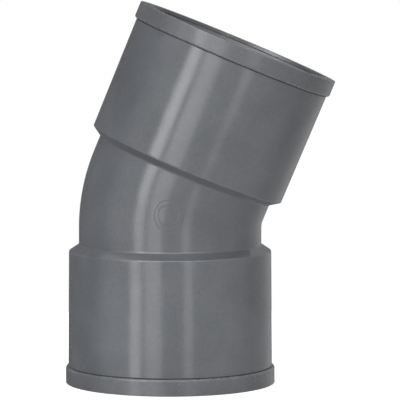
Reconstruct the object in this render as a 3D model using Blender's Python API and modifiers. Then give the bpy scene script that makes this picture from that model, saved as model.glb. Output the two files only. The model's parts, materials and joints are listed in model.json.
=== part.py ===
"""Double-socket elbow for pressure pipe, turning 22.5 degrees, with a clip-on collar over a lip gasket at each mouth.

The lower socket stands upright on its mouth and the upper one leans towards +X. Both arms are
alike. Each arm is drawn in (radius, depth), where depth runs from its mouth into the fitting.
"""

import math

import bmesh
import bpy

# Driving dimensions, in metres.
PIPE_OD = 0.063
PIPE_WALL = 0.003
BEND_ANGLE = math.radians(22.5)
BEND_RADIUS = 0.0385  # of the centreline
STRAIGHT_LENGTH = 0.00565  # between a shoulder and the bend
SOCKET_LENGTH = 0.0457  # mouth to the shoulder's outer edge
SHOULDER_RISE = 0.0023
SHOULDER_WALL = 0.0022  # pipe stop to the shoulder's outer edge
SOCKET_WALL = 0.0035
SOCKET_DRAFT = 0.0003  # radius lost from the mouth to the shoulder
BEND_WALL = 0.003

COLLAR_HEIGHT = 0.00565
COLLAR_STEP = 0.0009  # how far the collar stands proud of the socket
COLLAR_WALL = 0.00145
COLLAR_LIP = 0.0012
MOUTH_EDGE = 0.0002  # chamfer where the collar meets the mouth face
COLLAR_ROUND = 0.0008  # on its back edge
ENTRY_CHAMFER = 0.0004
BEAD_HEIGHT = 0.0005
BEAD_TOP = 0.0005
BEAD_FLANK = 0.0004
NECK_WALL = 0.0012

GASKET_LENGTH = 0.0045
GASKET_HEEL = 0.0018  # plain land before the lip
GASKET_LIP = 0.0005  # how far the lip squeezes the pipe
LIP_REACH = 0.0019  # along the bore, heel to tip
LIP_THICKNESS = 0.0005
SUPPORT_RING_LENGTH = 0.001

PIPE_CLEARANCE = 0.00025
ENTRY_CLEARANCE = 0.0002  # what stands clear of the pipe past the socket's own bore
RUNNING_CLEARANCE = 0.0003
SEAT_CLEARANCE = 0.0002

STEPS = 64
BEND_STEPS = 8
ROUND_STEPS = 3
JOIN_OVERLAP = 0.0008
MERGE = 0.00001

# Radii and depths that follow from them.
pipe_radius = PIPE_OD / 2
bore_radius = pipe_radius + PIPE_CLEARANCE
passage_radius = pipe_radius - PIPE_WALL
bend_radius = passage_radius + BEND_WALL
socket_radius = bore_radius + SOCKET_WALL
shoulder_radius = socket_radius - SOCKET_DRAFT
collar_radius = socket_radius + COLLAR_STEP
skirt_radius = collar_radius - COLLAR_WALL
neck_radius = skirt_radius - RUNNING_CLEARANCE
bead_radius = neck_radius + BEAD_HEIGHT
groove_radius = bead_radius + RUNNING_CLEARANCE
seat_radius = neck_radius - NECK_WALL
entry_radius = bore_radius + ENTRY_CLEARANCE

neck_end = COLLAR_LIP + RUNNING_CLEARANCE
neck_foot = COLLAR_HEIGHT + RUNNING_CLEARANCE
bead_depth = (COLLAR_LIP + COLLAR_HEIGHT) / 2
gasket_foot = neck_end + GASKET_LENGTH
ring_top = gasket_foot + SEAT_CLEARANCE
ring_foot = ring_top + SUPPORT_RING_LENGTH
seat_foot = ring_foot + SEAT_CLEARANCE
pipe_stop = SOCKET_LENGTH - SHOULDER_WALL
bend_start = SOCKET_LENGTH + SHOULDER_RISE + STRAIGHT_LENGTH
mouth_to_centre = bend_start + BEND_RADIUS * math.tan(BEND_ANGLE / 2)

# The upright axis stands to one side of the origin, which is under the middle of the whole fitting.
reach = (mouth_to_centre - MOUTH_EDGE) * math.sin(BEND_ANGLE) + collar_radius * math.cos(BEND_ANGLE)
axis_x = (collar_radius - reach) / 2


def clear_scene():
    for old in list(bpy.data.objects):
        bpy.data.objects.remove(old, do_unlink=True)


def new_collection(name, helper=False):
    collection = bpy.data.collections.new(name)
    collection.hide_render = helper
    bpy.context.scene.collection.children.link(collection)
    return collection


def new_material(name, colour, roughness):
    material = bpy.data.materials.new(name)
    material.use_nodes = True
    shader = material.node_tree.nodes["Principled BSDF"]
    shader.inputs["Base Color"].default_value = (*colour, 1.0)
    shader.inputs["Roughness"].default_value = roughness
    shader.inputs["Metallic"].default_value = 0.0
    return material


def new_empty(name, collection, location, turn):
    empty = bpy.data.objects.new(name, None)
    empty.location = location
    empty.rotation_euler = (0.0, turn, 0.0)
    collection.objects.link(empty)
    return empty


def new_object(name, mesh, collection, material=None, parent=None):
    obj = bpy.data.objects.new(name, mesh)
    collection.objects.link(obj)
    obj.parent = parent
    if material:
        mesh.materials.append(material)
    else:
        obj.hide_render = True
        obj.display_type = "WIRE"
    return obj


def turned(name, profile, collection, material=None, parent=None, closed=False):
    """Turns a profile of (radius, depth) points about Z; a closed one makes a ring."""
    edges = [(i, i + 1) for i in range(len(profile) - 1)]
    if closed:
        edges.append((len(profile) - 1, 0))
    mesh = bpy.data.meshes.new(name)
    mesh.from_pydata([(radius, 0.0, depth) for radius, depth in profile], edges, [])
    obj = new_object(name, mesh, collection, material, parent)
    screw = obj.modifiers.new("turn", "SCREW")
    screw.axis = "Z"
    screw.angle = 2 * math.pi
    screw.steps = STEPS
    screw.render_steps = STEPS
    screw.use_merge_vertices = True
    screw.merge_threshold = MERGE
    screw.use_smooth_shade = True
    return obj


def cap_of(geometry):
    """The end face among newly made geometry, with its own edges and corners."""
    face = next(part for part in geometry if isinstance(part, bmesh.types.BMFace))
    return [face, *face.edges, *face.verts]


def pushed(bm, cap, move):
    cap = cap_of(bmesh.ops.extrude_face_region(bm, geom=cap)["geom"])
    bmesh.ops.translate(bm, verts=cap[0].verts, vec=move)
    return cap


def bent_rod(name, radius, collection, material=None):
    """A round rod along the centreline, from the middle of the lower socket to that of the upper one."""
    start = SOCKET_LENGTH / 2
    straight = bend_start - start
    bm = bmesh.new()
    bmesh.ops.create_circle(bm, cap_ends=True, segments=STEPS, radius=radius)
    bmesh.ops.translate(bm, verts=bm.verts, vec=(axis_x, 0.0, start))
    cap = pushed(bm, cap_of(bm.faces), (0.0, 0.0, straight))
    centre = (axis_x + BEND_RADIUS, 0.0, bend_start)
    cap = cap_of(
        bmesh.ops.spin(
            bm, geom=cap, cent=centre, axis=(0.0, 1.0, 0.0), angle=BEND_ANGLE, steps=BEND_STEPS
        )["geom_last"]
    )
    pushed(bm, cap, (straight * math.sin(BEND_ANGLE), 0.0, straight * math.cos(BEND_ANGLE)))
    bmesh.ops.recalc_face_normals(bm, faces=bm.faces)
    mesh = bpy.data.meshes.new(name)
    bm.to_mesh(mesh)
    bm.free()
    mesh.shade_smooth()
    mesh.set_sharp_from_angle(angle=math.radians(30))
    return new_object(name, mesh, collection, material)


def boolean(obj, tool, operation):
    modifier = obj.modifiers.new(tool.name, "BOOLEAN")
    modifier.operation = operation
    modifier.solver = "MANIFOLD"
    modifier.object = tool


def socket_outside():
    """Shoulder, drafted socket and the stepped-down neck with its snap bead, from the axis to the axis."""
    slope = SHOULDER_RISE / (shoulder_radius - bend_radius)
    inner_top = SOCKET_LENGTH + SHOULDER_RISE + JOIN_OVERLAP * slope
    return [
        (0.0, inner_top),
        (bend_radius - JOIN_OVERLAP, inner_top),
        (shoulder_radius, SOCKET_LENGTH),
        (socket_radius, neck_foot),
        (neck_radius, neck_foot),
        (neck_radius, bead_depth + BEAD_TOP / 2 + BEAD_FLANK),
        (bead_radius, bead_depth + BEAD_TOP / 2),
        (bead_radius, bead_depth - BEAD_TOP / 2),
        (neck_radius, bead_depth - BEAD_TOP / 2 - BEAD_FLANK),
        (neck_radius, neck_end),
        (0.0, neck_end),
    ]


def socket_inside():
    """Pipe bore down to the stop, with the wider gasket seat at the mouth."""
    return [
        (0.0, pipe_stop),
        (bore_radius, pipe_stop),
        (bore_radius, seat_foot),
        (seat_radius, seat_foot),
        (seat_radius, -SEAT_CLEARANCE),
        (0.0, -SEAT_CLEARANCE),
    ]


def rounded(radius, depth, size):
    """An outer edge at (radius, depth) rounded off, from its far face down to its side."""
    turns = [math.pi / 2 * step / ROUND_STEPS for step in range(ROUND_STEPS + 1)]
    return [
        (radius - size + size * math.sin(turn), depth - size + size * math.cos(turn)) for turn in turns
    ]


def collar_section():
    """Skirt with the groove that takes the bead, and the lip that holds the gasket in."""
    groove_half = BEAD_TOP / 2 + RUNNING_CLEARANCE
    return [
        *rounded(collar_radius, COLLAR_HEIGHT, COLLAR_ROUND),
        (collar_radius, MOUTH_EDGE),
        (collar_radius - MOUTH_EDGE, 0.0),
        (entry_radius + ENTRY_CHAMFER, 0.0),
        (entry_radius, ENTRY_CHAMFER),
        (entry_radius, COLLAR_LIP),
        (skirt_radius, COLLAR_LIP),
        (skirt_radius, bead_depth - groove_half - BEAD_FLANK),
        (groove_radius, bead_depth - groove_half),
        (groove_radius, bead_depth + groove_half),
        (skirt_radius, bead_depth + groove_half + BEAD_FLANK),
        (skirt_radius, COLLAR_HEIGHT),
    ]


def gasket_section():
    """Outer land in the seat, and one lip that leans inwards along the pipe."""
    lip_root = neck_end + GASKET_HEEL
    tip_radius = pipe_radius - GASKET_LIP
    return [
        (seat_radius - SEAT_CLEARANCE, gasket_foot),
        (seat_radius - SEAT_CLEARANCE, neck_end),
        (entry_radius, neck_end),
        (entry_radius, lip_root),
        (tip_radius, lip_root + LIP_REACH - LIP_THICKNESS),
        (tip_radius, lip_root + LIP_REACH),
        (entry_radius, lip_root + 2 * LIP_THICKNESS),
        (entry_radius, gasket_foot),
    ]


def support_ring_section():
    """A plain stiff ring between the gasket and the foot of its seat."""
    return [
        (seat_radius - SEAT_CLEARANCE, ring_foot),
        (seat_radius - SEAT_CLEARANCE, ring_top),
        (entry_radius, ring_top),
        (entry_radius, ring_foot),
    ]


clear_scene()
fitting = new_collection("pvc_elbow_fitting")
tools = new_collection("pvc_elbow_fitting_tools", helper=True)

body_pvc = new_material("body_pvc", (0.150, 0.160, 0.175), 0.36)
collar_pvc = new_material("collar_pvc", (0.140, 0.149, 0.163), 0.40)
gasket_rubber = new_material("gasket_rubber", (0.110, 0.115, 0.124), 0.45)
ring_plastic = new_material("ring_plastic", (0.300, 0.305, 0.300), 0.45)

upper_x = axis_x + mouth_to_centre * math.sin(BEND_ANGLE)
upper_z = mouth_to_centre + mouth_to_centre * math.cos(BEND_ANGLE)
arms = {
    "lower": new_empty("lower_mouth", fitting, (axis_x, 0.0, 0.0), 0.0),
    "upper": new_empty("upper_mouth", fitting, (upper_x, 0.0, upper_z), math.pi + BEND_ANGLE),
}

body = bent_rod("elbow_body", bend_radius, fitting, body_pvc)
for side, arm in arms.items():
    boolean(body, turned(f"{side}_socket_outside", socket_outside(), tools, parent=arm), "UNION")
for side, arm in arms.items():
    boolean(body, turned(f"{side}_socket_inside", socket_inside(), tools, parent=arm), "DIFFERENCE")
boolean(body, bent_rod("passage", passage_radius, tools), "DIFFERENCE")

for side, arm in arms.items():
    for name, section, material in (
        ("retaining_collar", collar_section(), collar_pvc),
        ("lip_gasket", gasket_section(), gasket_rubber),
        ("gasket_support_ring", support_ring_section(), ring_plastic),
    ):
        turned(f"{side}_{name}", section, fitting, material, parent=arm, closed=True)
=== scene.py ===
import json
import math

import bpy
import numpy as np
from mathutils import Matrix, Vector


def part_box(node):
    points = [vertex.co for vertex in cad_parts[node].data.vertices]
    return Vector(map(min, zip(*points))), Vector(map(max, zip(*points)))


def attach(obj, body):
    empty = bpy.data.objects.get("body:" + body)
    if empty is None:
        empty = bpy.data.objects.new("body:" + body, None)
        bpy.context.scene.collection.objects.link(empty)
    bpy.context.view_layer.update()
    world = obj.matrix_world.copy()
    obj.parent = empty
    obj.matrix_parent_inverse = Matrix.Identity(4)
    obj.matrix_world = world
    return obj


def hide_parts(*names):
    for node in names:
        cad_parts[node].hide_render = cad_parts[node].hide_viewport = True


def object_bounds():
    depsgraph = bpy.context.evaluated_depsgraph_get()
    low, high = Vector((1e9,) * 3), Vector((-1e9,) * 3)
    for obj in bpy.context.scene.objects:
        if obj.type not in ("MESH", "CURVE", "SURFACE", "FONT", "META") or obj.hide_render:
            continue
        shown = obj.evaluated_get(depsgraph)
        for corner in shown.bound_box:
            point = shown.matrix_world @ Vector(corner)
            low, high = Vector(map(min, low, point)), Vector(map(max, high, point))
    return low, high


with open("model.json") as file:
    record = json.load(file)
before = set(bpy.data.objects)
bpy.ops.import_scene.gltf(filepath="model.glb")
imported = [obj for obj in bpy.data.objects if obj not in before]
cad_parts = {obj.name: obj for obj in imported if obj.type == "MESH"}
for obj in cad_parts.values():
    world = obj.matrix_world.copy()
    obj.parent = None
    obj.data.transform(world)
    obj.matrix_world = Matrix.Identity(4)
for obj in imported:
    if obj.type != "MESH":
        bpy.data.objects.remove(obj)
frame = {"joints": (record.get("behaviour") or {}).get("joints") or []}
cad_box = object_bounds()


# ---- Elbow body ---------------------------------------------------------------------------
# The main moulding: two sockets with their shoulders and the bend between them, injected in one
# shot of grey rigid PVC on polished steel. Each mouth steps down to a neck, whose bead holds the
# collar, and its wall is cut back inside as the seat of the gasket.

joints = {joint["name"]: joint for joint in frame["joints"]}
lower_mouth = joints["lower_collar_turn"]["pos_m"]
upper_mouth = joints["upper_collar_turn"]["pos_m"]
upper_axis = joints["upper_collar_turn"]["axis"]
collar_low, collar_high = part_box("lower_retaining_collar")
gasket_low, gasket_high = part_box("lower_lip_gasket")
ring_low, ring_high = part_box("lower_gasket_support_ring")

BEND_ANGLE = math.atan2(upper_axis[0], upper_axis[2])
BEND_RADIUS = 0.0385  # of the centreline
MOUTH_TO_CROSSING = (upper_mouth[2] - lower_mouth[2]) / (1 + math.cos(BEND_ANGLE))
BEND_START = MOUTH_TO_CROSSING - BEND_RADIUS * math.tan(BEND_ANGLE / 2)
CENTRELINE = 2 * BEND_START + BEND_RADIUS * BEND_ANGLE

RUNNING_GAP = 0.0003
SEAT_GAP = 0.0002
COLLAR_RADIUS = (collar_high.y - collar_low.y) / 2
COLLAR_HEIGHT = collar_high.z - collar_low.z
SOCKET_RADIUS = COLLAR_RADIUS - 0.0009
SOCKET_LENGTH = 0.0457
SHOULDER_RADIUS = SOCKET_RADIUS - 0.0003
SHOULDER_RISE = 0.0023
BEND_OUTSIDE = 0.0315
PASSAGE_RADIUS = 0.0285
BORE_RADIUS = 0.03175
PIPE_STOP = SOCKET_LENGTH - 0.0022
NECK_RADIUS = COLLAR_RADIUS - 0.00175
NECK_FOOT = COLLAR_HEIGHT + RUNNING_GAP
NECK_END = gasket_low.z
BEAD_DEPTH = (COLLAR_HEIGHT + 0.0012) / 2
BEAD_HEIGHT = 0.0005
BEAD_HALF = 0.00025  # half its flat top
BEAD_FLANK = 0.0004
SEAT_RADIUS = (gasket_high.y - gasket_low.y) / 2 + SEAT_GAP
SEAT_FOOT = ring_high.z + SEAT_GAP
AROUND = 192

CRISP = 0.0001  # roundings of the corners
EASED = 0.0002
SOFT = 0.0003
SHOULDER_FILLET = 0.0009
SHOULDER_EDGE = 0.0007
SOCKET_EDGE = 0.00015
PASSAGE_EDGE = 0.0004


def rounded_outline(corners, arc_steps=5, run_step=0.0015, hold=0.00012):
    """Closed outline of (depth, radius) points, with its corners rounded, and its edge mask.

    A corner is (depth, radius, rounding). Unit vectors a and b run from it to its neighbours, at
    an angle 2h. Its arc starts rounding / tan(h) along a, about a centre rounding / sin(h) along
    a + b, and turns evenly through pi - 2h. The runs between arcs are cut into equal steps, with
    one short step at each end that keeps them flat. The mask is 1 on outer corners, else 0.
    """
    corners = np.array(corners, float)
    point, rounding = corners[:, :2], corners[:, 2:3]
    a = np.roll(point, 1, axis=0) - point
    b = np.roll(point, -1, axis=0) - point
    a /= np.linalg.norm(a, axis=1, keepdims=True)
    b /= np.linalg.norm(b, axis=1, keepdims=True)
    half = np.arccos((a * b).sum(axis=1, keepdims=True)) / 2
    centre = point + (a + b) / np.linalg.norm(a + b, axis=1, keepdims=True) * rounding / np.sin(half)
    start = point + a * rounding / np.tan(half) - centre
    end = point + b * rounding / np.tan(half) - centre
    sweep = np.pi - 2 * half[:, :, None]
    share = np.linspace(0, 1, arc_steps + 1)[None, :, None]
    arcs = centre[:, None] + (
        np.sin((1 - share) * sweep) * start[:, None] + np.sin(share * sweep) * end[:, None]
    ) / np.sin(sweep)
    turn = b[:, 0] * a[:, 1] - b[:, 1] * a[:, 0]
    after = np.roll(point, -1, axis=0)
    area = (point[:, 0] * after[:, 1] - point[:, 1] * after[:, 0]).sum()
    outer = (turn * area > 0).astype(float)
    pieces, mask = [], []
    for arc, following, is_outer in zip(arcs, np.roll(arcs, -1, axis=0), outer):
        run = following[0] - arc[-1]
        length = np.linalg.norm(run)
        short = min(hold / length, 0.25)
        cuts = np.linspace(short, 1 - short, max(2, int(length / run_step) + 1))
        pieces += [arc, arc[-1] + cuts[:, None] * run]
        mask += [np.full(len(arc), is_outer), np.zeros(len(cuts))]
    return np.concatenate(pieces), np.concatenate(mask)


def along_centreline(distance):
    """Points of the centreline and unit vectors across it, at distances from the lower mouth.

    It goes straight up to the bend, turns t = distance past the bend's start / BEND_RADIUS about
    a point on the +X side, and goes straight on. The vector across it is (cos t, 0, -sin t).
    """
    turned = np.clip((distance - BEND_START) / BEND_RADIUS, 0, BEND_ANGLE)
    before = np.minimum(distance, BEND_START)
    beyond = np.maximum(distance - CENTRELINE + BEND_START, 0)
    x = lower_mouth[0] + BEND_RADIUS * (1 - np.cos(turned)) + beyond * math.sin(BEND_ANGLE)
    z = lower_mouth[2] + before + BEND_RADIUS * np.sin(turned) + beyond * math.cos(BEND_ANGLE)
    nothing = np.zeros_like(x)
    return np.stack([x, nothing, z], -1), np.stack([np.cos(turned), nothing, -np.sin(turned)], -1)


def piece_from_grid(name, points, mask, material):
    """A smooth mesh over a grid of points, with its last row joined to its first and its last
    column to its first. The edge mask has one value for each row."""
    rows, columns = points.shape[:2]
    row = np.arange(rows)[:, None]
    column = np.arange(columns)[None, :]
    following, beside = (row + 1) % rows, (column + 1) % columns
    quads = np.stack(
        [
            row * columns + column,
            following * columns + column,
            following * columns + beside,
            row * columns + beside,
        ],
        -1,
    ).reshape(-1, 4)
    mesh = bpy.data.meshes.new(name)
    mesh.from_pydata(points.reshape(-1, 3), [], quads)
    edge = mesh.attributes.new("edge", "FLOAT", "POINT")
    edge.data.foreach_set("value", np.repeat(mask, columns).astype(np.float32))
    mesh.shade_smooth()
    mesh.materials.append(material)
    piece = bpy.data.objects.new(name, mesh)
    bpy.context.scene.collection.objects.link(piece)
    return piece


def swept_ring(name, corners, material, from_upper_mouth=False):
    """The rounded outline of the corners, carried round the centreline: each of its points
    becomes a circle of its radius, centred on the centreline and square to it, at its depth."""
    outline, mask = rounded_outline(corners)
    distance, radius = outline.T
    if from_upper_mouth:
        distance, radius, mask = CENTRELINE - distance[::-1], radius[::-1], mask[::-1]
    centre, across = along_centreline(distance)
    turn = np.linspace(0, 2 * np.pi, AROUND, endpoint=False)[None, :, None]
    spoke = np.cos(turn) * across[:, None] + np.sin(turn) * np.array([0.0, 1.0, 0.0])
    points = centre[:, None] + radius[:, None, None] * spoke
    return piece_from_grid(name, points, mask, material)


def add_node(tree, kind, links=None, **settings):
    """A node of this kind, with its properties set, its inputs linked or given a value."""
    made = tree.nodes.new(kind)
    for name, value in settings.items():
        setattr(made, name, value)
    for name, value in (links or {}).items():
        if isinstance(value, bpy.types.NodeSocket):
            tree.links.new(value, made.inputs[name])
        else:
            made.inputs[name].default_value = value
    return made


def new_group(name, inputs, outputs):
    """An empty shader node group with its inputs (name: default) and outputs (name: kind)."""
    group = bpy.data.node_groups.new(name, "ShaderNodeTree")
    for socket_name, default in inputs.items():
        kind = "NodeSocketColor" if isinstance(default, tuple) else "NodeSocketFloat"
        socket = group.interface.new_socket(socket_name, in_out="INPUT", socket_type=kind)
        socket.default_value = default
    for socket_name, kind in outputs.items():
        group.interface.new_socket(socket_name, in_out="OUTPUT", socket_type=kind)
    return group, group.nodes.new("NodeGroupInput"), group.nodes.new("NodeGroupOutput")


CLOUDS_SCALE = 45.0  # of the noises, so many to the metre
SPECKS_SCALE = 1100.0
RUBBED_SCALE = 260.0
SETTLED_SCALE = 90.0
GRIT_SCALE = 1900.0
SMEAR_SCALE = 70.0
WAVE_SCALE = 70.0
SETTLED_SHARE = 0.35  # of the dust, beside the grit
DUST_DULLS = 0.5  # added to the roughness
WEAR_DULLS = 0.12
SMEARS_DULL = (-0.03, 0.05)
RIPPLE_SHARE = 0.7
STIPPLE_SHARE = 0.3


def moulded_skin_group():
    """The skin of a moulding: a cloudy tint, fine specks, worn corners, settled dust and a grain.

    Tint = base * (1 + Clouds * slow noise + Specks * fine noise), turned towards Worn where the
    edge mask and a broken noise meet, and towards Dust where a sparse noise is high. Gloss falls
    with dust and wear. Height is the grain: Wave * a very broad noise + a ripple + a stipple.
    """
    group, given, result = new_group(
        "moulded_skin",
        {
            "Base": (0.1, 0.1, 0.1, 1.0),
            "Worn": (0.3, 0.3, 0.3, 1.0),
            "Dust": (0.5, 0.5, 0.5, 1.0),
            "Clouds": 0.1,
            "Specks": 0.1,
            "Wear": 0.5,
            "Dust amount": 0.2,
            "Gloss roughness": 0.2,
            "Wave": 1.0,
            "Ripple size": 300.0,
            "Stipple size": 2500.0,
        },
        {"Color": "NodeSocketColor", "Roughness": "NodeSocketFloat", "Height": "NodeSocketFloat"},
    )
    place = add_node(group, "ShaderNodeTexCoord").outputs["Object"]

    def noise(scale, detail, roughness=0.5):
        return add_node(
            group,
            "ShaderNodeTexNoise",
            {"Vector": place, "Scale": scale, "Detail": detail, "Roughness": roughness},
        ).outputs["Fac"]

    def ranged(value, low, high, to_low=0.0, to_high=1.0):
        return add_node(
            group,
            "ShaderNodeMapRange",
            {"Value": value, "From Min": low, "From Max": high, "To Min": to_low, "To Max": to_high},
        ).outputs["Result"]

    def worked_out(operation, first, second, third=None):
        made = add_node(group, "ShaderNodeMath", operation=operation)
        for socket, value in zip(made.inputs, (first, second, third)):
            if isinstance(value, bpy.types.NodeSocket):
                group.links.new(value, socket)
            elif value is not None:
                socket.default_value = value
        return made.outputs[0]

    def mixed(share, first, second):
        made = add_node(group, "ShaderNodeMix", data_type="RGBA")
        group.links.new(share, made.inputs[0])
        group.links.new(first, made.inputs[6])
        group.links.new(second, made.inputs[7])
        return made.outputs[2]

    clouds = ranged(noise(CLOUDS_SCALE, 3.0), 0.3, 0.7, -1.0, 1.0)
    specks = ranged(noise(SPECKS_SCALE, 2.0, 0.6), 0.3, 0.7, -1.0, 1.0)
    shade = worked_out("MULTIPLY_ADD", clouds, given.outputs["Clouds"], 1.0)
    shade = worked_out("MULTIPLY_ADD", specks, given.outputs["Specks"], shade)
    tint = add_node(group, "ShaderNodeVectorMath", operation="SCALE")
    group.links.new(given.outputs["Base"], tint.inputs[0])
    group.links.new(shade, tint.inputs["Scale"])

    edge = add_node(group, "ShaderNodeAttribute", attribute_name="edge").outputs["Fac"]
    rubbed = ranged(noise(RUBBED_SCALE, 4.0, 0.65), 0.38, 0.62)
    wear = worked_out("MULTIPLY", worked_out("MULTIPLY", edge, rubbed), given.outputs["Wear"])
    worn = mixed(wear, tint.outputs[0], given.outputs["Worn"])

    settled = ranged(noise(SETTLED_SCALE, 5.0, 0.7), 0.52, 0.8)
    grit = ranged(noise(GRIT_SCALE, 1.0), 0.66, 0.74)
    all_dust = worked_out("MULTIPLY_ADD", settled, SETTLED_SHARE, grit)
    dust = worked_out("MULTIPLY", all_dust, given.outputs["Dust amount"])
    colour = mixed(dust, worn, given.outputs["Dust"])

    smear = ranged(noise(SMEAR_SCALE, 4.0, 0.6), 0.3, 0.7, *SMEARS_DULL)
    roughness = worked_out("ADD", given.outputs["Gloss roughness"], smear)
    roughness = worked_out("MULTIPLY_ADD", dust, DUST_DULLS, roughness)
    roughness = worked_out("MULTIPLY_ADD", wear, WEAR_DULLS, roughness)

    def sized_noise(size, detail):
        made = add_node(group, "ShaderNodeTexNoise", {"Vector": place, "Detail": detail})
        group.links.new(given.outputs[size], made.inputs["Scale"])
        return made.outputs["Fac"]

    stipple = worked_out("MULTIPLY", sized_noise("Stipple size", 1.0), STIPPLE_SHARE)
    height = worked_out("MULTIPLY_ADD", sized_noise("Ripple size", 1.0), RIPPLE_SHARE, stipple)
    height = worked_out("MULTIPLY_ADD", noise(WAVE_SCALE, 1.0), given.outputs["Wave"], height)
    group.links.new(colour, result.inputs["Color"])
    group.links.new(roughness, result.inputs["Roughness"])
    group.links.new(height, result.inputs["Height"])
    return group


moulded_skin = moulded_skin_group()


def moulded_material(name, grain_depth, specular=0.5, **values):
    """A Principled BSDF under the moulded skin, with the skin's own values for this material."""
    material = bpy.data.materials.new(name)
    material.use_nodes = True
    tree = material.node_tree
    shader = tree.nodes["Principled BSDF"]
    skin = add_node(
        tree,
        "ShaderNodeGroup",
        {socket.replace("_", " "): value for socket, value in values.items()},
        node_tree=moulded_skin,
    )
    bump = add_node(tree, "ShaderNodeBump", {"Height": skin.outputs["Height"], "Distance": grain_depth})
    tree.links.new(skin.outputs["Color"], shader.inputs["Base Color"])
    tree.links.new(skin.outputs["Roughness"], shader.inputs["Roughness"])
    tree.links.new(bump.outputs["Normal"], shader.inputs["Normal"])
    shader.inputs["Specular IOR Level"].default_value = specular
    return material


body_pvc = moulded_material(
    "body_pvc",
    grain_depth=0.00003,
    Base=(0.114, 0.120, 0.132, 1.0),
    Worn=(0.20, 0.205, 0.215, 1.0),
    Dust=(0.34, 0.34, 0.33, 1.0),
    Clouds=0.12,
    Specks=0.06,
    Wear=0.25,
    Dust_amount=0.12,
    Gloss_roughness=0.16,
    Wave=4.0,
    Ripple_size=260.0,
    Stipple_size=2400.0,
)

arm = [
    (SOCKET_LENGTH + SHOULDER_RISE, BEND_OUTSIDE, SHOULDER_FILLET),
    (SOCKET_LENGTH, SHOULDER_RADIUS, SHOULDER_EDGE),
    (NECK_FOOT, SOCKET_RADIUS, SOCKET_EDGE),
    (NECK_FOOT, NECK_RADIUS, CRISP),
    (BEAD_DEPTH + BEAD_HALF + BEAD_FLANK, NECK_RADIUS, CRISP),
    (BEAD_DEPTH + BEAD_HALF, NECK_RADIUS + BEAD_HEIGHT, EASED),
    (BEAD_DEPTH - BEAD_HALF, NECK_RADIUS + BEAD_HEIGHT, EASED),
    (BEAD_DEPTH - BEAD_HALF - BEAD_FLANK, NECK_RADIUS, CRISP),
    (NECK_END, NECK_RADIUS, EASED),
    (NECK_END, SEAT_RADIUS, EASED),
    (SEAT_FOOT, SEAT_RADIUS, CRISP),
    (SEAT_FOOT, BORE_RADIUS, SOFT),
    (PIPE_STOP, BORE_RADIUS, SOFT),
    (PIPE_STOP, PASSAGE_RADIUS, PASSAGE_EDGE),
]
far_arm = [(CENTRELINE - depth, radius, rounding) for depth, radius, rounding in reversed(arm)]
elbow = swept_ring("elbow_moulding", arm + far_arm, body_pvc)
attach(elbow, "fitting")
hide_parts("elbow_body")


# ---- Gate mark ----------------------------------------------------------------------------
# Where the plastic was injected, on the bend's front side: two faint rings, left by the end of
# the nozzle. They stand a few hundredths of a millimetre proud and belong to the moulding.

MARK_DISTANCE = 0.0608  # along the centreline
MARK_TURN = -math.pi / 2 - 0.03
MARK_RINGS = (0.0036, 0.0051)
MARK_HEIGHT = 0.000045
MARK_WIDTH = 0.0003
MARK_SUNK = 0.00002  # what lies between and beside the rings
MARK_FOOT = 0.0002  # depth of its flat underside

reach = np.linspace(MARK_RINGS[0] - 3 * MARK_WIDTH, MARK_RINGS[1] + 3 * MARK_WIDTH, 81)
rise = sum(np.exp(-((reach - ring) / MARK_WIDTH) ** 2) for ring in MARK_RINGS)
height = rise * (MARK_HEIGHT + MARK_SUNK) - MARK_SUNK
reach = np.concatenate([reach, reach[-1:], reach[:1]])
height = np.concatenate([height, np.full(2, -MARK_FOOT)])
compass = np.linspace(0, 2 * np.pi, 96, endpoint=False)[None, :]
mark_centre, mark_across = along_centreline(MARK_DISTANCE + reach[:, None] * np.cos(compass))
mark_turn = (MARK_TURN + reach[:, None] * np.sin(compass) / BEND_OUTSIDE)[..., None]
mark_spoke = np.cos(mark_turn) * mark_across + np.sin(mark_turn) * np.array([0.0, 1.0, 0.0])
mark_points = mark_centre + (BEND_OUTSIDE + height)[:, None, None] * mark_spoke
mark = piece_from_grid("gate_mark", mark_points, np.zeros(len(reach)), body_pvc)
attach(mark, "fitting")


# ---- Retaining collars --------------------------------------------------------------------
# A band round each mouth, moulded apart from the body in the same grey PVC and pushed on until
# its groove snaps over the bead. Its lip reaches in over the gasket and keeps it in its seat.

COLLAR_LIP = 0.0012
COLLAR_BACK = COLLAR_HEIGHT + 0.00015
COLLAR_BACK_EDGE = 0.0008
SKIRT_RADIUS = NECK_RADIUS + RUNNING_GAP
GROOVE_RADIUS = NECK_RADIUS + BEAD_HEIGHT + RUNNING_GAP
GROOVE_HALF = BEAD_HALF + RUNNING_GAP
ENTRY_RADIUS = BORE_RADIUS + 0.0002
ENTRY_TAPER = 0.0002  # the lead-in for the pipe

collar_pvc = moulded_material(
    "collar_pvc",
    grain_depth=0.00004,
    Base=(0.116, 0.121, 0.131, 1.0),
    Worn=(0.22, 0.225, 0.23, 1.0),
    Dust=(0.34, 0.34, 0.33, 1.0),
    Clouds=0.10,
    Specks=0.06,
    Wear=0.25,
    Dust_amount=0.10,
    Gloss_roughness=0.24,
    Wave=2.0,
    Ripple_size=330.0,
    Stipple_size=2400.0,
)

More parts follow.
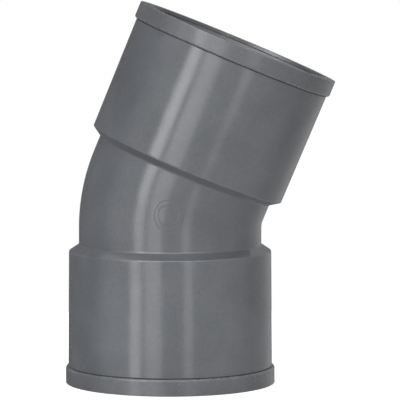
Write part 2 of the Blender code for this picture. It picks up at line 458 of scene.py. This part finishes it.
collar_corners = [
    (COLLAR_BACK, SKIRT_RADIUS, CRISP),
    (COLLAR_BACK, COLLAR_RADIUS, COLLAR_BACK_EDGE),
    (0.0, COLLAR_RADIUS, EASED),
    (0.0, ENTRY_RADIUS + ENTRY_TAPER, EASED),
    (COLLAR_LIP, ENTRY_RADIUS, CRISP),
    (COLLAR_LIP, SKIRT_RADIUS, CRISP),
    (BEAD_DEPTH - GROOVE_HALF - BEAD_FLANK, SKIRT_RADIUS, CRISP),
    (BEAD_DEPTH - GROOVE_HALF, GROOVE_RADIUS, CRISP),
    (BEAD_DEPTH + GROOVE_HALF, GROOVE_RADIUS, CRISP),
    (BEAD_DEPTH + GROOVE_HALF + BEAD_FLANK, SKIRT_RADIUS, CRISP),
]
for side in ("lower", "upper"):
    collar = swept_ring(f"{side}_collar_band", collar_corners, collar_pvc, side == "upper")
    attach(collar, f"{side}_collar")
    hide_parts(f"{side}_retaining_collar")


# ---- Lip gaskets --------------------------------------------------------------------------
# A ring of moulded grey elastomer in each seat, held under the collar's lip. Its own lip leans
# inwards and down the bore, and the pipe spreads it as it goes in. It is shown relaxed.

GASKET_RADIUS = SEAT_RADIUS - SEAT_GAP
GASKET_END = gasket_high.z
GASKET_FACE = NECK_END - 0.00018  # it bears on the collar's lip
LIP_ROOT = NECK_END + 0.0018
LIP_TIP_RADIUS = 0.0310
LIP_TIP = LIP_ROOT + 0.0019
LIP_THICKNESS = 0.0005
HEEL_TAPER = 0.0006

gasket_rubber = moulded_material(
    "gasket_rubber",
    grain_depth=0.00005,
    Base=(0.140, 0.145, 0.155, 1.0),
    Worn=(0.18, 0.185, 0.19, 1.0),
    Dust=(0.30, 0.30, 0.29, 1.0),
    Clouds=0.10,
    Specks=0.10,
    Wear=0.5,
    Dust_amount=0.3,
    Gloss_roughness=0.48,
    Ripple_size=500.0,
    Stipple_size=4200.0,
)

gasket_corners = [
    (GASKET_END, ENTRY_RADIUS, EASED),
    (GASKET_END, GASKET_RADIUS, EASED),
    (GASKET_FACE, GASKET_RADIUS, CRISP),
    (GASKET_FACE, ENTRY_RADIUS, CRISP),
    (LIP_ROOT, ENTRY_RADIUS - HEEL_TAPER, SOFT),
    (LIP_TIP - LIP_THICKNESS, LIP_TIP_RADIUS, CRISP),
    (LIP_TIP, LIP_TIP_RADIUS, CRISP),
    (LIP_ROOT + 2 * LIP_THICKNESS, ENTRY_RADIUS, EASED),
]
for side in ("lower", "upper"):
    gasket = swept_ring(f"{side}_gasket_ring", gasket_corners, gasket_rubber, side == "upper")
    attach(gasket, "fitting")
    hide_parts(f"{side}_lip_gasket")


# ---- Support rings ------------------------------------------------------------------------
# A flat ring of stiff pale plastic between each gasket and the foot of its seat. It lies loose
# there, and the gasket bears on it when the pipe is pushed home.

RING_NEAR = ring_low.z
RING_FAR = ring_high.z
RING_EDGE = 0.00015

ring_plastic = moulded_material(
    "ring_plastic",
    grain_depth=0.00003,
    Base=(0.300, 0.305, 0.300, 1.0),
    Worn=(0.40, 0.40, 0.39, 1.0),
    Dust=(0.42, 0.41, 0.39, 1.0),
    Clouds=0.06,
    Specks=0.06,
    Wear=0.5,
    Dust_amount=0.2,
    Gloss_roughness=0.42,
    Ripple_size=420.0,
    Stipple_size=3000.0,
)

ring_corners = [
    (RING_FAR, ENTRY_RADIUS, RING_EDGE),
    (RING_FAR, GASKET_RADIUS, RING_EDGE),
    (RING_NEAR, GASKET_RADIUS, RING_EDGE),
    (RING_NEAR, ENTRY_RADIUS, RING_EDGE),
]
for side in ("lower", "upper"):
    ring = swept_ring(f"{side}_support_ring", ring_corners, ring_plastic, side == "upper")
    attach(ring, "fitting")
    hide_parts(f"{side}_gasket_support_ring")


# ---- Floor and backdrop -------------------------------------------------------------------
# A pale matt table top under the fitting, in a white surround. The table keeps the fitting's
# soft shadow, is lifted to white only for what looks at it, and is clear from underneath.

TABLE_RADIUS = 0.20
TABLE_LIFT = 0.55
TABLE_GREY = 0.82
TABLE_CORNERS = 128


def seen_directly(tree):
    """1 for camera, glossy and transmission rays, else 0."""
    path = add_node(tree, "ShaderNodeLightPath")
    glossy = add_node(tree, "ShaderNodeMath", operation="MAXIMUM")
    tree.links.new(path.outputs["Is Camera Ray"], glossy.inputs[0])
    tree.links.new(path.outputs["Is Glossy Ray"], glossy.inputs[1])
    both = add_node(tree, "ShaderNodeMath", operation="MAXIMUM")
    tree.links.new(glossy.outputs[0], both.inputs[0])
    tree.links.new(path.outputs["Is Transmission Ray"], both.inputs[1])
    return both.outputs[0]


table_white = bpy.data.materials.new("table_white")
table_white.use_nodes = True
table_tree = table_white.node_tree
table_shader = table_tree.nodes["Principled BSDF"]
table_shader.inputs["Base Color"].default_value = (TABLE_GREY, TABLE_GREY, TABLE_GREY, 1.0)
table_shader.inputs["Roughness"].default_value = 1.0
table_shader.inputs["Specular IOR Level"].default_value = 0.0
table_shader.inputs["Emission Color"].default_value = (1.0, 1.0, 1.0, 1.0)
lift = add_node(table_tree, "ShaderNodeMath", operation="MULTIPLY")
table_tree.links.new(seen_directly(table_tree), lift.inputs[0])
lift.inputs[1].default_value = TABLE_LIFT
table_tree.links.new(lift.outputs[0], table_shader.inputs["Emission Strength"])
from_below = add_node(table_tree, "ShaderNodeMath", operation="MULTIPLY")
facing = add_node(table_tree, "ShaderNodeNewGeometry")
table_tree.links.new(facing.outputs["Backfacing"], from_below.inputs[0])
camera_ray = add_node(table_tree, "ShaderNodeLightPath").outputs["Is Camera Ray"]
table_tree.links.new(camera_ray, from_below.inputs[1])
opaque = add_node(table_tree, "ShaderNodeMath", operation="SUBTRACT")
opaque.inputs[0].default_value = 1.0
table_tree.links.new(from_below.outputs[0], opaque.inputs[1])
table_tree.links.new(opaque.outputs[0], table_shader.inputs["Alpha"])

table_turn = np.linspace(0, 2 * np.pi, TABLE_CORNERS, endpoint=False)
table_rim = TABLE_RADIUS * np.stack(
    [np.cos(table_turn), np.sin(table_turn), np.zeros(TABLE_CORNERS)], -1
)
table_mesh = bpy.data.meshes.new("table")
table_mesh.from_pydata(table_rim, [], [list(range(TABLE_CORNERS))])
table_mesh.materials.append(table_white)
table = bpy.data.objects.new("table", table_mesh)
bpy.context.scene.collection.objects.link(table)
table.visible_glossy = False

SURROUND = 0.40  # what lights the fitting, above the horizon and below it
GROUND = 0.20
HORIZON = (-0.3, 0.1)  # height of the direction, from ground to surround
world = bpy.data.worlds.new("white_surround")
world.use_nodes = True
bpy.context.scene.world = world
world_tree = world.node_tree
direction = add_node(world_tree, "ShaderNodeTexCoord").outputs["Generated"]
upward = add_node(world_tree, "ShaderNodeSeparateXYZ", {"Vector": direction}).outputs["Z"]
unseen = add_node(
    world_tree,
    "ShaderNodeMapRange",
    {
        "Value": upward,
        "From Min": HORIZON[0],
        "From Max": HORIZON[1],
        "To Min": GROUND,
        "To Max": SURROUND,
    },
)
strength = add_node(world_tree, "ShaderNodeMapRange", {"To Min": unseen.outputs[0], "To Max": 1.0})
world_tree.links.new(seen_directly(world_tree), strength.inputs["Value"])
surround = world_tree.nodes["Background"]
surround.inputs["Color"].default_value = (1.0, 1.0, 1.0, 1.0)
world_tree.links.new(strength.outputs["Result"], surround.inputs["Strength"])


# ---- Lamps --------------------------------------------------------------------------------
# Plain soft boxes: a narrow tall one on the front left, a wide softer one between it and the
# camera, a weak one on the right, a broad fill behind, and a dim one overhead. A wide strip
# high in front only shines in rounded rims.

box_low, box_high = cad_box
middle = [(low + high) / 2 for low, high in zip(box_low, box_high)]
LAMP_DISTANCE = 1.4


def soft_box(name, bearing, half_width, low, high, radiance):
    """An area lamp that faces the fitting. Bearings run from the camera, left negative, and all
    angles are in degrees as seen from the fitting. Its power is pi * area * radiance."""
    left, bottom, top = (math.radians(angle) for angle in (bearing, low, high))
    width = 2 * LAMP_DISTANCE * math.tan(math.radians(half_width))
    height_span = LAMP_DISTANCE * (math.tan(top) - math.tan(bottom))
    lamp = bpy.data.lights.new(name, "AREA")
    lamp.shape = "RECTANGLE"
    lamp.size = width
    lamp.size_y = height_span
    lamp.energy = math.pi * width * height_span * radiance
    holder = bpy.data.objects.new(name, lamp)
    holder.location = (
        middle[0] + LAMP_DISTANCE * math.sin(left),
        middle[1] - LAMP_DISTANCE * math.cos(left),
        middle[2] + LAMP_DISTANCE * (math.tan(top) + math.tan(bottom)) / 2,
    )
    holder.rotation_euler = (math.pi / 2, 0.0, left)
    holder.visible_camera = False
    bpy.context.scene.collection.objects.link(holder)
    return holder


for name, bearing, half_width, low, high, radiance in (
    ("narrow_left_low", -39.0, 6.0, -14.0, 4.0, 3.2),
    ("narrow_left_high", -39.0, 6.0, 4.0, 60.0, 5.3),
    ("wide_left_low", -18.8, 9.1, -14.0, 4.0, 2.1),
    ("wide_left_high", -18.8, 9.1, 4.0, 60.0, 2.9),
    ("weak_right", 20.0, 5.0, -12.5, 60.0, 1.65),
):
    soft_box(name, bearing, half_width, low, high, radiance)

soft_box("rear_fill", 180.0, 42.0, -5.0, 50.0, 1.6).visible_glossy = False
soft_box("rim_strip", -8.0, 58.0, 34.0, 60.0, 3.0).visible_diffuse = False

OVERHEAD_SIDE = 1.5
OVERHEAD_HEIGHT = 1.4
OVERHEAD_RADIANCE = 0.5
overhead_lamp = bpy.data.lights.new("overhead", "AREA")
overhead_lamp.size = OVERHEAD_SIDE
overhead_lamp.energy = math.pi * OVERHEAD_SIDE**2 * OVERHEAD_RADIANCE
overhead = bpy.data.objects.new("overhead", overhead_lamp)
overhead.location = (middle[0], middle[1], middle[2] + OVERHEAD_HEIGHT)
overhead.visible_camera = False
bpy.context.scene.collection.objects.link(overhead)


# ---- Reflected card -----------------------------------------------------------------------
# A curved card behind the fitting, which only its gloss sees. It is grey on the right and dark on
# the left, and fades out at its ends. It keeps the fitting's outline from turning white.

CARD_DISTANCE = 1.6
CARD_BEARINGS = (80.0, 104.0, 150.0, 177.0, 265.0, 290.0)
CARD_GREYS = (1.0, 0.6, 0.6, 0.14, 0.12, 1.0)
CARD_STEPS = 105

bearing = np.linspace(CARD_BEARINGS[0], CARD_BEARINGS[-1], CARD_STEPS + 1)
card_grey = np.interp(bearing, CARD_BEARINGS, CARD_GREYS)
card_foot = CARD_DISTANCE * np.stack([np.sin(np.radians(bearing)), -np.cos(np.radians(bearing))], -1)
card_points = np.concatenate([
    np.column_stack([card_foot, np.full(len(bearing), -CARD_DISTANCE)]),
    np.column_stack([card_foot, np.full(len(bearing), CARD_DISTANCE)]),
])
step = np.arange(len(bearing) - 1)
card_quads = np.stack([step, step + 1, step + 1 + len(bearing), step + len(bearing)], -1)
card_mesh = bpy.data.meshes.new("reflected_card")
card_mesh.from_pydata(card_points, [], card_quads)
grey = card_mesh.attributes.new("grey", "FLOAT", "POINT")
grey.data.foreach_set("value", np.tile(card_grey, 2).astype(np.float32))

card_paint = bpy.data.materials.new("reflected_card")
card_paint.use_nodes = True
card_shader = card_paint.node_tree.nodes["Principled BSDF"]
card_shader.inputs["Base Color"].default_value = (0.0, 0.0, 0.0, 1.0)
card_shader.inputs["Specular IOR Level"].default_value = 0.0
card_shader.inputs["Emission Color"].default_value = (1.0, 1.0, 1.0, 1.0)
card_level = add_node(card_paint.node_tree, "ShaderNodeAttribute", attribute_name="grey")
card_paint.node_tree.links.new(card_level.outputs["Fac"], card_shader.inputs["Emission Strength"])
card_mesh.materials.append(card_paint)
card = bpy.data.objects.new("reflected_card", card_mesh)
bpy.context.scene.collection.objects.link(card)
card.visible_camera = False
card.visible_diffuse = False
card.visible_shadow = False


# ---- Camera -------------------------------------------------------------------------------
# A long lens, a little above the fitting and square to the plane in which it bends.

CAMERA_RISE = math.radians(5.2345)
CAMERA_DISTANCE = 1.162
AIM_HEIGHT = 0.4796  # of the fitting's height
CAMERA_LENS = 303.0  # millimetres

camera_data = bpy.data.cameras.new("camera")
camera_data.lens = CAMERA_LENS
camera = bpy.data.objects.new("camera", camera_data)
camera.location = (
    middle[0],
    -CAMERA_DISTANCE * math.cos(CAMERA_RISE),
    box_low[2] + AIM_HEIGHT * (box_high[2] - box_low[2]) + CAMERA_DISTANCE * math.sin(CAMERA_RISE),
)
camera.rotation_euler = (math.pi / 2 - CAMERA_RISE, 0.0, 0.0)
bpy.context.scene.collection.objects.link(camera)
bpy.context.scene.camera = camera
bpy.context.scene.view_settings.view_transform = "Standard"
